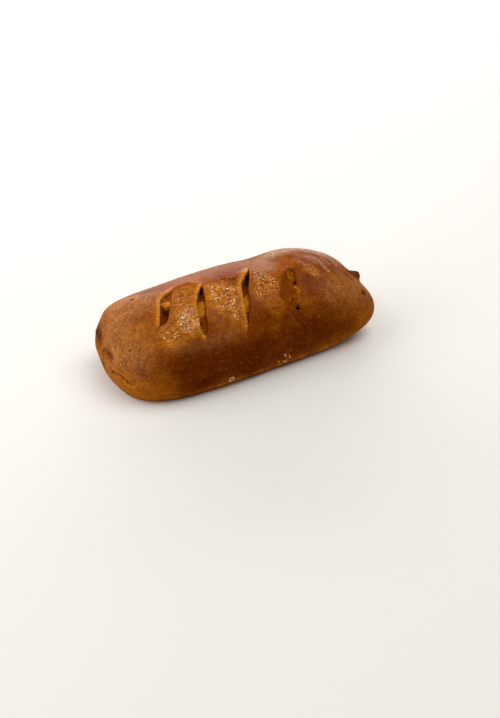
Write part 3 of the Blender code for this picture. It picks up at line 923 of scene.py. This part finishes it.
def show_folds(centres):
    """Which faces show the left end's folds, the base line, the tips or the long seam."""
    x, y, z = centres.T
    left_end = (x < LEFT_END_X) & (np.abs(y) < LEFT_END_HALF_WIDTH) & (z < LEFT_END_TOP)
    base_line = (z < BASE_LINE_TOP) & (z > BASE_LINE_FOOT) & (y < 0.0)
    tips = distance_to_spots(centres, TIP_MIDDLES) < TIP_DETAIL
    return left_end | base_line | tips | (distance_to_line(centres, lift_line(RIDGES[0].line)) < SEAM_DETAIL)


def halve_spacing(piece, chosen):
    """Halve the mesh spacing of the chosen faces."""
    use_only(piece)
    bpy.ops.object.mode_set(mode="EDIT")
    bpy.ops.mesh.select_mode(type="FACE")
    bpy.ops.mesh.select_all(action="DESELECT")
    bpy.ops.object.mode_set(mode="OBJECT")
    piece.data.polygons.foreach_set("select", chosen)
    bpy.ops.object.mode_set(mode="EDIT")
    bpy.ops.mesh.subdivide(number_cuts=1, smoothness=0.0)
    bpy.ops.object.mode_set(mode="OBJECT")


def shift_to_frame(places):
    return places + np.array([SHIFT_X, SHIFT_Y, 0.0])


def raise_broadly(crust, bare, share):
    """Raise the bare crust by its broad relief, as far as share says, and keep it above the floor."""
    relief = broad_relief(bare)[:, None] * share
    places = bare + read_normals(crust) * relief
    places[:, 2] = np.maximum(places[:, 2], 0.0)
    write_places(crust, places)


def shape_crust(crust, spacing):
    """From a rounded block to the broad form of the roll, finer where it shows detail."""
    remesh(crust, spacing)
    write_places(crust, onto_crust(read_places(crust)))
    raise_broadly(crust, read_places(crust), 1.0)
    join_tips(crust)
    remesh(crust, spacing)
    smooth_crust(crust)
    centres = read_vectors(crust.data.polygons, "center")
    halve_spacing(crust, show_detail(centres, FINE) | show_folds(centres))
    centres = read_vectors(crust.data.polygons, "center")
    halve_spacing(crust, show_detail(centres, FINEST))
    smooth_crust(crust)

    places = read_places(crust)
    share = smooth_step(TIP_CLEAR, TIP_BLEND, distance_to_spots(places, TIP_MIDDLES))[:, None]
    bare = mix(places, onto_crust(places), share)
    write_places(crust, bare)
    raise_broadly(crust, bare, share)


def carve_crust(crust):
    """Sink the cuts, and note how open, deep, raised and pale each place is."""
    places = read_places(crust)
    opening, depth, lips, pale = read_cuts(places)
    places += read_normals(crust) * (lips * LIP_HEIGHT * (1.0 - opening))[:, None]
    for cave in CAVES:
        away = np.linalg.norm(places[:, :2] - np.array(cave.middle), axis=1)
        push = cave.push * bell(away / cave.reach) * smooth_step(*CAVE_DEPTHS, depth)
        places[:, :2] -= push[:, None] * np.array(CUT_WAY)
    places[:, 2] -= depth
    write_places(crust, places)
    return opening, depth, pale


def blister_relief(places, blisters, tint, bright, size):
    """How high the blisters stand, from 0 to 1, and how much painted highlight their tops get."""
    bubble, speck_and_glint = np.zeros((2, len(places)))
    near = blisters > HARDLY_ANY
    small, small_shine = domes(places[near], size, *SMALL_DOMES)
    large, large_shine = domes(places[near] + DOME_SHIFT, size * LARGE_DOME_SIZE, *LARGE_DOMES)
    clumps = smooth_step(*CLUMP_RANGE, soft_noise(places[near], CLUMP_SIZE, 3.0))
    bubble[near] = np.maximum(small * clumps, large * LARGE_DOME_HEIGHT) * blisters[near]
    shine = np.where(small > large, small_shine, large_shine)
    # Painted highlight: blisters whose draw passes the zone's share get pale tops
    shown = shine - SHINE_START + SHINE_SPREAD * bright[near]
    speck_and_glint[near] = bubble[near] * smooth_step(0.0, SHINE_STEP, shown)
    speck_and_glint[near] *= mix(PLAIN_SHINE, 1.0, smooth_step(*TINT_RANGE, tint[near]))
    return bubble, speck_and_glint


def wrinkle_relief(places, outside):
    """Fine wrinkles where the dough was stretched."""
    strength, wrinkles = np.zeros((2, len(places)))
    for zone in WRINKLE_ZONES:
        strength = np.maximum(strength, zone_strength(places, zone))
    strength = strength * outside
    near = strength > HARDLY_ANY
    stretched = places[near] * np.array(WRINKLE_STRETCH)
    folds = np.abs(soft_noise(stretched, WRINKLE_SIZE, 5.0))
    wrinkles[near] = (1.0 - folds * WRINKLE_SHARPNESS) * strength[near]
    return np.maximum(wrinkles, WRINKLE_FLOOR) * WRINKLE_HEIGHT


def base_line_relief(places):
    """The ragged line along the foot of the front, from 0 to 1."""
    x, y, z = places.T
    ragged = smooth_step(*BASE_LINE_RAGGED, soft_noise(places, BASE_LINE_NOISE_SIZE, 21.0))
    along_front = smooth_step(*BASE_LINE_START, x) * (1.0 - smooth_step(*BASE_LINE_END, x))
    line = bell((z - BASE_LINE_HEIGHT) / BASE_LINE_WIDTH) * (y < 0.0)
    return line * ragged * mix(BASE_LINE_FAINT, 1.0, along_front)


def fine_relief(crust, sizes):
    """Blisters, wrinkles, pores and flake marks, and the masks that the crust's colour reads, painted shade,
    highlights and sheen among them.
    """
    bare = read_places(crust)
    patch, blisters, tint, zone_pale, bright = read_zones(bare)
    pore_rise, painted_crevice_shade, pore_pale, flakes_and_glints = pore_relief(bare)
    opening, depth, lip_pale = carve_crust(crust)
    places = read_places(crust)
    normals = read_normals(crust)
    outside = 1.0 - smooth_step(*RIM_DEPTHS, depth)
    bubble, speck_and_glint = blister_relief(bare, blisters * outside, tint, bright, sizes.blister_size)
    above_base = smooth_step(*BASE_HEIGHTS, bare[:, 2])
    crumb = np.zeros(len(bare))
    near = opening > HARDLY_OPEN
    crumb[near] = noise_relief(places[near], CRUMB_NOISE) * opening[near]
    base_line = base_line_relief(bare)
    rise = (bubble * sizes.blister_height + wrinkle_relief(bare, outside)
            + noise_relief(bare, CRUST_NOISE) * above_base * outside + crumb + pore_rise
            + base_line * BASE_LINE_RISE)
    places += normals * rise[:, None]
    places[:, 2] = np.where(bare[:, 2] < FLAT_HEIGHT, 0.0, np.maximum(places[:, 2], 0.0))
    write_places(crust, shift_to_frame(places))

    scorch = np.zeros(len(bare))
    for tip, amount in zip(TIPS, TIP_SCORCH):
        away = np.linalg.norm(bare - np.array(tip.middle), axis=1)
        scorch = np.maximum(scorch, amount * (1.0 - smooth_step(*SCORCH_REACH, away)))
    masks = (
        smooth_step(*INSIDE_DEPTHS, depth),
        # Painted shade deep in the cuts
        smooth_step(*PAINTED_SHADE_DEPTHS, depth),
        patch * outside,
        tint * outside,
        np.maximum.reduce([zone_pale * outside, lip_pale, pore_pale]),
        bubble,
        # Painted highlights on blister tops, with the pale flakes and the painted glints
        np.maximum(speck_and_glint, flakes_and_glints),
        scorch,
        # Painted shade in pores, cracks, creases and round lumps
        painted_crevice_shade,
        # Browning, with painted shade and painted light in some rows
        np.clip(add_up(bare, BROWNING_SHADE_AND_LIGHT), -1.0, 1.0),
        # Dull bloom, partly painted sheen on rims and seams
        read_strokes(bare, BLOOMS_AND_SHEEN),
        # Paler edges and the ragged base line, partly painted highlights
        np.maximum(read_strokes(bare, PALE_EDGES_AND_HIGHLIGHTS), base_line),
    )
    for name, values in zip(MASKS, masks):
        layer = crust.data.attributes.new(name, "FLOAT", "POINT")
        layer.data.foreach_set("value", values.astype(np.float32))


def new_tree(name, values):
    """A new material, its node tree and its Principled shader, set to the values."""
    made = bpy.data.materials.new(name)
    made.use_nodes = True
    shader = made.node_tree.nodes["Principled BSDF"]
    for socket, value in values.items():
        shader.inputs[socket].default_value = value
    return made, made.node_tree, shader


def set_input(tree, socket, value):
    """Link a socket to another node's output, or give it a plain value."""
    if isinstance(value, bpy.types.NodeSocket):
        tree.links.new(value, socket)
    elif hasattr(value, "__len__"):
        socket.default_value = (*value[:3], 1.0)
    else:
        socket.default_value = value


def read_attribute(tree, name):
    node = tree.nodes.new("ShaderNodeAttribute")
    node.attribute_name = name
    return node.outputs["Fac"]


def object_place(tree):
    return tree.nodes.new("ShaderNodeTexCoord").outputs["Object"]


def noise_pattern(tree, pattern):
    """A noise texture on the piece's own places."""
    mapping = tree.nodes.new("ShaderNodeMapping")
    mapping.inputs["Scale"].default_value = pattern.stretch
    mapping.inputs["Location"].default_value = pattern.offset
    tree.links.new(object_place(tree), mapping.inputs["Vector"])
    node = tree.nodes.new("ShaderNodeTexNoise")
    node.inputs["Scale"].default_value = pattern.scale
    node.inputs["Detail"].default_value = pattern.detail
    node.inputs["Roughness"].default_value = pattern.roughness
    tree.links.new(mapping.outputs["Vector"], node.inputs["Vector"])
    return node.outputs["Fac"]


def cell_pattern(tree, scale, feature):
    """A cell texture's distance on the piece's own places."""
    node = tree.nodes.new("ShaderNodeTexVoronoi")
    node.feature = feature
    node.inputs["Scale"].default_value = scale
    tree.links.new(object_place(tree), node.inputs["Vector"])
    return node.outputs["Distance"]


def calculate(tree, operation, first, second):
    node = tree.nodes.new("ShaderNodeMath")
    node.operation = operation
    set_input(tree, node.inputs[0], first)
    set_input(tree, node.inputs[1], second)
    return node.outputs[0]


def remap(tree, value, low, high, new_low=0.0, new_high=1.0):
    node = tree.nodes.new("ShaderNodeMapRange")
    node.interpolation_type = "SMOOTHSTEP"
    set_input(tree, node.inputs["Value"], value)
    node.inputs["From Min"].default_value = low
    node.inputs["From Max"].default_value = high
    node.inputs["To Min"].default_value = new_low
    node.inputs["To Max"].default_value = new_high
    return node.outputs["Result"]


def blend_colors(tree, share, first, second):
    node = tree.nodes.new("ShaderNodeMix")
    node.data_type = "RGBA"
    set_input(tree, node.inputs["Factor"], share)
    set_input(tree, node.inputs["A"], first)
    set_input(tree, node.inputs["B"], second)
    return node.outputs["Result"]


def place_part(tree, axis):
    node = tree.nodes.new("ShaderNodeSeparateXYZ")
    tree.links.new(object_place(tree), node.inputs[0])
    return node.outputs[axis]


def add_bump(tree, height, bump, below=None):
    node = tree.nodes.new("ShaderNodeBump")
    node.inputs["Distance"].default_value = bump.distance
    node.inputs["Strength"].default_value = bump.strength
    set_input(tree, node.inputs["Height"], height)
    if below is not None:
        tree.links.new(below, node.inputs["Normal"])
    return node.outputs["Normal"]


def crust_material(colors):
    """Egg-washed crust: broad browning, blistered patches, pale lips, scorched tips, and painted shade,
    highlights and sheen.
    """
    made, tree, shader = new_tree("baked_crust_looks", CRUST_FINISH)
    mask = {name: read_attribute(tree, name) for name in MASKS}

    def pattern(kind):
        return noise_pattern(tree, kind)

    def curve(value, *ends):
        return remap(tree, value, *ends)

    def times(first, second):
        return calculate(tree, "MULTIPLY", first, second)

    height = place_part(tree, "Z")
    broad = pattern(BROAD)
    speckle = pattern(SPECKLE)
    wall = blend_colors(tree, mask["inside"], colors.wall, colors.crumb)
    # Painted shade: the crumb darkens to the deep crumb colour where a cut is deep
    inside = blend_colors(tree, mask["deep"], wall, colors.shade)
    browned_and_shaded = times(mask["browning_shade_and_light"], curve(pattern(TOAST_PATCHES), 0.30, 0.66, 0.70, 1.18))
    # Painted shade in the gaps between blisters of a patch
    gap_shade = times(curve(mask["blister"], 0.0, 0.45, 0.95, 0.0), mask["patch"])
    flecks = curve(pattern(FLECKS), 0.42, 0.58, 0.25, 1.0)
    sparks = curve(pattern(SPARKS), 0.56, 0.68, 0.0, 0.35)
    layers = (
        (curve(broad, 0.36, 0.66), colors.golden),
        # Browning and painted shade darken the crust
        (curve(browned_and_shaded, 0.0, 1.0, 0.0, 0.92), colors.dark),
        # Negative amounts, painted light among them, turn the crust paler
        (curve(mask["browning_shade_and_light"], -1.0, 0.0, 1.0, 0.0), colors.base),
        # Paler near the floor: less baked, and partly painted bounce light
        (times(curve(height, 0.001, 0.012, 0.6, 0.0), curve(broad, 0.35, 0.6)), colors.base),
        (times(mask["tint"], 0.90), colors.patch),
        (curve(pattern(STREAKS), 0.52, 0.74, 0.0, 0.40), colors.dark),
        (times(mask["pale"], 0.80), colors.rim),
        # Painted shade in spots between blisters
        (times(gap_shade, curve(pattern(GAP_SHADE_SPOTS), 0.48, 0.60)), colors.deep),
        # Painted highlight: blister domes turn paler towards their tops
        (curve(mask["blister"], 0.35, 0.90, 0.0, 0.30), colors.rim),
        # Painted highlights on the picked blister tops
        (curve(mask["speck_and_glint"], 0.30, 0.72, 0.0, 0.90), colors.blister),
        (curve(mask["inside"], 0.0, 0.4), inside),
        # Dull bloom, partly painted sheen on rims and seams
        (times(mask["bloom_and_sheen"], flecks), colors.bloom_and_sheen),
        # Paler edges, partly painted highlights
        (times(mask["pale_edge_and_highlight"], flecks), colors.rim),
        (times(mask["scorch"], 0.80), colors.scorch),
        (curve(pattern(MOTTLE), 0.34, 0.68, 0.0, 0.30), colors.dark),
        (times(sparks, curve(mask["inside"], 0.0, 0.4, 1.0, 0.0)), colors.golden),
        # Painted shade, near black, in pores, cracks and creases
        (curve(mask["pores"], 0.15, 0.6, 0.0, 0.97), colors.crevice_shade),
    )
    color = colors.deep
    for share, layer in layers:
        color = blend_colors(tree, share, color, layer)
    lit = tree.nodes.new("ShaderNodeVectorMath")
    lit.operation = "SCALE"
    set_input(tree, lit.inputs[0], color)
    set_input(tree, lit.inputs["Scale"], curve(speckle, 0.28, 0.72, 0.72, 1.28))
    set_input(tree, shader.inputs["Base Color"], lit.outputs[0])
    set_input(tree, shader.inputs["Roughness"], curve(pattern(ROUGH), 0.3, 0.7, 0.42, 0.60))

    to_right = curve(place_part(tree, "X"), -0.070, 0.060, 0.09, 0.10)
    shine = times(curve(height, 0.034, 0.054), to_right)
    glaze = calculate(tree, "ADD", shine, times(mask["blister"], 0.50))
    glaze = times(glaze, curve(mask["inside"], 0.0, 0.5, 1.0, 0.0))
    set_input(tree, shader.inputs["Coat Weight"], glaze)

    grain = add_bump(tree, speckle, GRAIN_BUMP)
    dimples = add_bump(tree, cell_pattern(tree, DIMPLE_SCALE, "SMOOTH_F1"), DIMPLE_BUMP, grain)
    bubbly = times(cell_pattern(tree, BUBBLE_SCALE, "F1"), mask["patch"])
    set_input(tree, shader.inputs["Normal"], add_bump(tree, bubbly, BUBBLE_BUMP, dimples))
    return made


def mottled_material(name, look, first, second):
    """Two colours mottled together over a bumpy skin."""
    made, tree, shader = new_tree(name, look.finish)
    share = remap(tree, noise_pattern(tree, look.mottle), *look.ends)
    set_input(tree, shader.inputs["Base Color"], blend_colors(tree, share, first, second))
    bumps = noise_pattern(tree, look.bumps)
    set_input(tree, shader.inputs["Normal"], add_bump(tree, bumps, SKIN_BUMP))
    return made


def dress(piece, material, node):
    """Give a piece its material, put it on the food's one body and hide the solid it stands for."""
    piece.data.materials.clear()
    piece.data.materials.append(material)
    piece.data.shade_smooth()
    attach(piece, "root")
    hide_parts(node)


def cheese_reading(x):
    """The cheese's middle line, spread and cover at x, eased from one stop to the next."""
    reading = [np.full(len(x), start) for start in CHEESE_STOPS[0][1:]]
    for near, far in zip(CHEESE_STOPS, CHEESE_STOPS[1:]):
        eased = smooth_step(near.x, far.x, x)
        reading = [mix(before, after, eased) for before, after in zip(reading, far[1:])]
    return reading


def ring_reading(piece):
    """Of a unit ball's places: how far along X, and the turn around X as a cosine and a sine."""
    x, y, z = read_places(piece).T
    radius = np.maximum(np.hypot(y, z), 1e-9)
    return np.clip(x, -1.0, 1.0), y / radius, z / radius


def size_property(name, description, default):
    return bpy.props.FloatProperty(name=name, description=description, default=default,
                                   subtype="DISTANCE", unit="LENGTH")


def power_property(name, description, default):
    return bpy.props.FloatProperty(name=name, description=description, default=default,
                                   subtype="POWER", unit="POWER")


def color_property(name, description, default):
    return bpy.props.FloatVectorProperty(name=name, description=description, default=default,
                                         subtype="COLOR", size=3, min=0.0, max=1.0)


class CrustSizes(bpy.types.PropertyGroup):
    spacing: size_property("Spacing", "Mesh spacing of the plain crust, a quarter near cuts", 0.00140)
    blister_size: size_property("Blister size", "Space between the blisters", 0.00112)
    blister_height: size_property("Blister height", "How far the blisters stand out", 0.00034)


class BriocheColors(bpy.types.PropertyGroup):
    deep: color_property("Deep crust", "Crust where it baked longest", (0.222, 0.047, 0.002))
    golden: color_property("Golden crust", "Crust where it baked least", (0.395, 0.120, 0.006))
    # Also the painted light of the paler rows, and partly painted bounce light near the floor
    base: color_property("Base crust", "Paler crust near the base", (0.400, 0.120, 0.006))
    # Also the painted shade of the darker rows, such as the low front and the dimple
    dark: color_property("Dark crust", "The darkest toasted crust", (0.102, 0.0140, 0.0004))
    patch: color_property("Blistered patch", "Stretched dough between the cuts", (0.610, 0.195, 0.003))
    # Pale dough, also used for painted highlights on blister tops and raised edges
    rim: color_property("Pale dough", "Lips of the cuts and tops of the patches", (0.700, 0.265, 0.022))
    # Painted highlight on blister tops, partly their thin pale skin
    blister: color_property("Blister tops", "Thin pale skin of the blisters", (0.940, 0.700, 0.480))
    wall: color_property("Cut rims", "Crust where it turns down into the cuts", (0.260, 0.056, 0.002))
    crumb: color_property("Cut floors", "Crumb inside the cuts", (0.255, 0.069, 0.003))
    # Painted shade deep in the cuts
    shade: color_property("Deep crumb", "Crumb deep in the cuts", (0.230, 0.045, 0.001))
    # Dull pale bloom, partly painted sheen on rims, seams and the left end
    bloom_and_sheen: color_property("Bloom", "Dull pale bloom on seams and folds", (0.560, 0.370, 0.215))
    scorch: color_property("Scorched tips", "Burnt dough at the tips", (0.066, 0.027, 0.017))
    # Painted shade inside pores, cracks and creases
    crevice_shade: color_property("Pores", "Burnt inside of the pores", (0.018, 0.005, 0.002))
    meat: color_property("Sausage", "Sausage skin", (0.420, 0.072, 0.003))
    meat_dark: color_property("Dark sausage", "Darker marks on the sausage", (0.240, 0.036, 0.002))
    cheese: color_property("Cheese", "Melted cheese", (0.580, 0.212, 0.008))
    cheese_brown: color_property("Baked cheese", "Baked marks on the cheese", (0.380, 0.125, 0.004))


class StageSettings(bpy.types.PropertyGroup):
    floor_color: color_property("Floor", "Plain pale floor", (0.77, 0.80, 0.83))
    lens: bpy.props.FloatProperty(
        name="Lens", description="Focal length of the camera", default=69.8, unit="CAMERA")
    key_power: power_property("Key light", "Power of the soft light from above, behind and to the left", 8.4)
    back_power: power_property("Back light", "Power of the wide low light behind the roll", 42.0)
    top_power: power_property("Top light", "Power of the soft light overhead", 14.0)
    side_power: power_property("Side light", "Power of the soft light at the left end", 7.0)
    sky_strength: bpy.props.FloatProperty(
        name="Sky", description="Strength of the even white surroundings", default=0.25, min=0.0)


class BRIOCHE_OT_crust(bpy.types.Operator):
    """Shape the crust with its cuts, blisters, seams and pinched tips"""
    bl_idname = "brioche.crust"
    bl_label = "Baked crust"

    def execute(self, context):
        sizes = context.scene.brioche_crust
        crust = add_block("crust")
        shape_crust(crust, sizes.spacing)
        fine_relief(crust, sizes)
        dress(crust, crust_material(context.scene.brioche_colors), "brioche")
        return {"FINISHED"}


class BRIOCHE_OT_sausage(bpy.types.Operator):
    """Shape the sausage that runs through the roll"""
    bl_idname = "brioche.sausage"
    bl_label = "Sausage"

    def execute(self, context):
        middle = (SAUSAGE_LOW + SAUSAGE_HIGH) / 2
        half = (SAUSAGE_HIGH - SAUSAGE_LOW) / 2
        piece = add_round("sausage_meat", (0.0, 0.0, 0.0), (1.0, 1.0, 1.0), *SAUSAGE_MESH)
        along, cosine, sine = ring_reading(piece)
        share = left_over(along, SAUSAGE_END_BLUNT)
        places = np.stack([middle.x + along * half.x, middle.y + cosine * share * half.y,
                           middle.z + sine * share * half.z], axis=1)
        write_places(piece, places)
        wrinkle = noise_relief(places, SAUSAGE_NOISE)
        write_places(piece, places - read_normals(piece) * np.abs(wrinkle)[:, None])
        colors = context.scene.brioche_colors
        material = mottled_material("sausage_skin_looks", SAUSAGE_LOOK, colors.meat_dark, colors.meat)
        dress(piece, material, "sausage")
        return {"FINISHED"}


class BRIOCHE_OT_cheese(bpy.types.Operator):
    """Shape the soft cheese that runs along the sausage and shows in the cuts"""
    bl_idname = "brioche.cheese"
    bl_label = "Cheese filling"

    def execute(self, context):
        piece = add_round("melted_cheese", (0.0, 0.0, 0.0), (1.0, 1.0, 1.0), *CHEESE_MESH)
        along, cosine, sine = ring_reading(piece)
        share = left_over(along, CHEESE_END_BLUNT)
        x = mix(CHEESE_STOPS[0].x, CHEESE_STOPS[-1].x, (along + 1.0) / 2)
        middle_y, half_width, cover = cheese_reading(x)
        y = middle_y + half_width * share * cosine
        for lump in CHEESE_LUMPS:
            away = np.hypot(x - lump.middle[0], y - lump.middle[1])
            cover = mix(cover, lump.cover, np.minimum(bell(away / lump.reach) * LUMP_FULLNESS, 1.0))
        top = crust_height(x, y) - cover - CHEESE_HALF_HEIGHT
        places = np.stack([x, y, top + CHEESE_HALF_HEIGHT * share * sine], axis=1)
        write_places(piece, places)
        places += read_normals(piece) * noise_relief(places, CHEESE_NOISE)[:, None]
        write_places(piece, shift_to_frame(places))
        colors = context.scene.brioche_colors
        material = mottled_material("melted_cheese_looks", CHEESE_LOOK, colors.cheese, colors.cheese_brown)
        dress(piece, material, "cheese_filling")
        return {"FINISHED"}


def add_soft_light(light, power):
    deselect_all()
    bpy.ops.object.light_add(type="AREA", location=light.place)
    lamp = bpy.context.object
    lamp.name = light.name
    lamp.data.shape = "RECTANGLE"
    lamp.data.size, lamp.data.size_y = light.size
    lamp.data.energy = power
    lamp.data.color = light.color
    lamp.rotation_euler = (Vector(LIGHT_AIM) - Vector(light.place)).to_track_quat("-Z", "Y").to_euler()


def add_camera(lens):
    bpy.ops.object.camera_add(location=CAMERA_PLACE)
    camera = bpy.context.object
    camera.name = "photo_view"
    camera.data.lens = lens
    camera.data.sensor_width = SENSOR_WIDTH
    turn = (Vector(CAMERA_AIM) - Vector(CAMERA_PLACE)).to_track_quat("-Z", "Y")
    camera.rotation_euler = turn.to_euler()
    camera.rotation_euler.rotate_axis("Z", CAMERA_ROLL)
    return camera


class BRIOCHE_OT_stage(bpy.types.Operator):
    """Set out the pale floor, the soft lights and the camera"""
    bl_idname = "brioche.stage"
    bl_label = "Stage"

    def execute(self, context):
        stage = context.scene.brioche_stage
        deselect_all()
        bpy.ops.mesh.primitive_plane_add(size=FLOOR_SIZE, location=(0.0, 0.0, 0.0))
        floor = bpy.context.object
        floor.name = "floor"
        material, tree, shader = new_tree("pale_floor", FLOOR_FINISH)
        set_input(tree, shader.inputs["Base Color"], stage.floor_color)
        floor.data.materials.append(material)

        powers = (stage.key_power, stage.back_power, stage.top_power, stage.side_power)
        for light, power in zip(LIGHTS, powers):
            add_soft_light(light, power)
        world = bpy.data.worlds.new("surroundings")
        world.use_nodes = True
        background = world.node_tree.nodes["Background"]
        background.inputs["Color"].default_value = (*LIGHT_COLOR, 1.0)
        background.inputs["Strength"].default_value = stage.sky_strength
        context.scene.world = world
        context.scene.camera = add_camera(stage.lens)
        context.scene.view_settings.view_transform = "Standard"
        return {"FINISHED"}


class BRIOCHE_PT_panel(bpy.types.Panel):
    """Lists the brioche's pieces in the sidebar"""
    bl_idname = "BRIOCHE_PT_panel"
    bl_label = "Sausage brioche"
    bl_space_type = "VIEW_3D"
    bl_region_type = "UI"
    bl_category = "Brioche"

    def draw(self, context):
        for operator in OPERATORS:
            self.layout.operator(operator.bl_idname)


OPERATORS = (BRIOCHE_OT_crust, BRIOCHE_OT_sausage, BRIOCHE_OT_cheese, BRIOCHE_OT_stage)
GROUPS = {"brioche_crust": CrustSizes, "brioche_colors": BriocheColors, "brioche_stage": StageSettings}
CLASSES = (*GROUPS.values(), *OPERATORS, BRIOCHE_PT_panel)


def register():
    for kind in CLASSES:
        bpy.utils.register_class(kind)
    for name, group in GROUPS.items():
        setattr(bpy.types.Scene, name, bpy.props.PointerProperty(type=group))


def unregister():
    for name in GROUPS:
        delattr(bpy.types.Scene, name)
    for kind in reversed(CLASSES):
        bpy.utils.unregister_class(kind)


def main():
    register()
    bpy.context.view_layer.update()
    bpy.ops.brioche.crust()
    bpy.ops.brioche.sausage()
    bpy.ops.brioche.cheese()
    bpy.ops.brioche.stage()


if __name__ == "__main__":
    main()
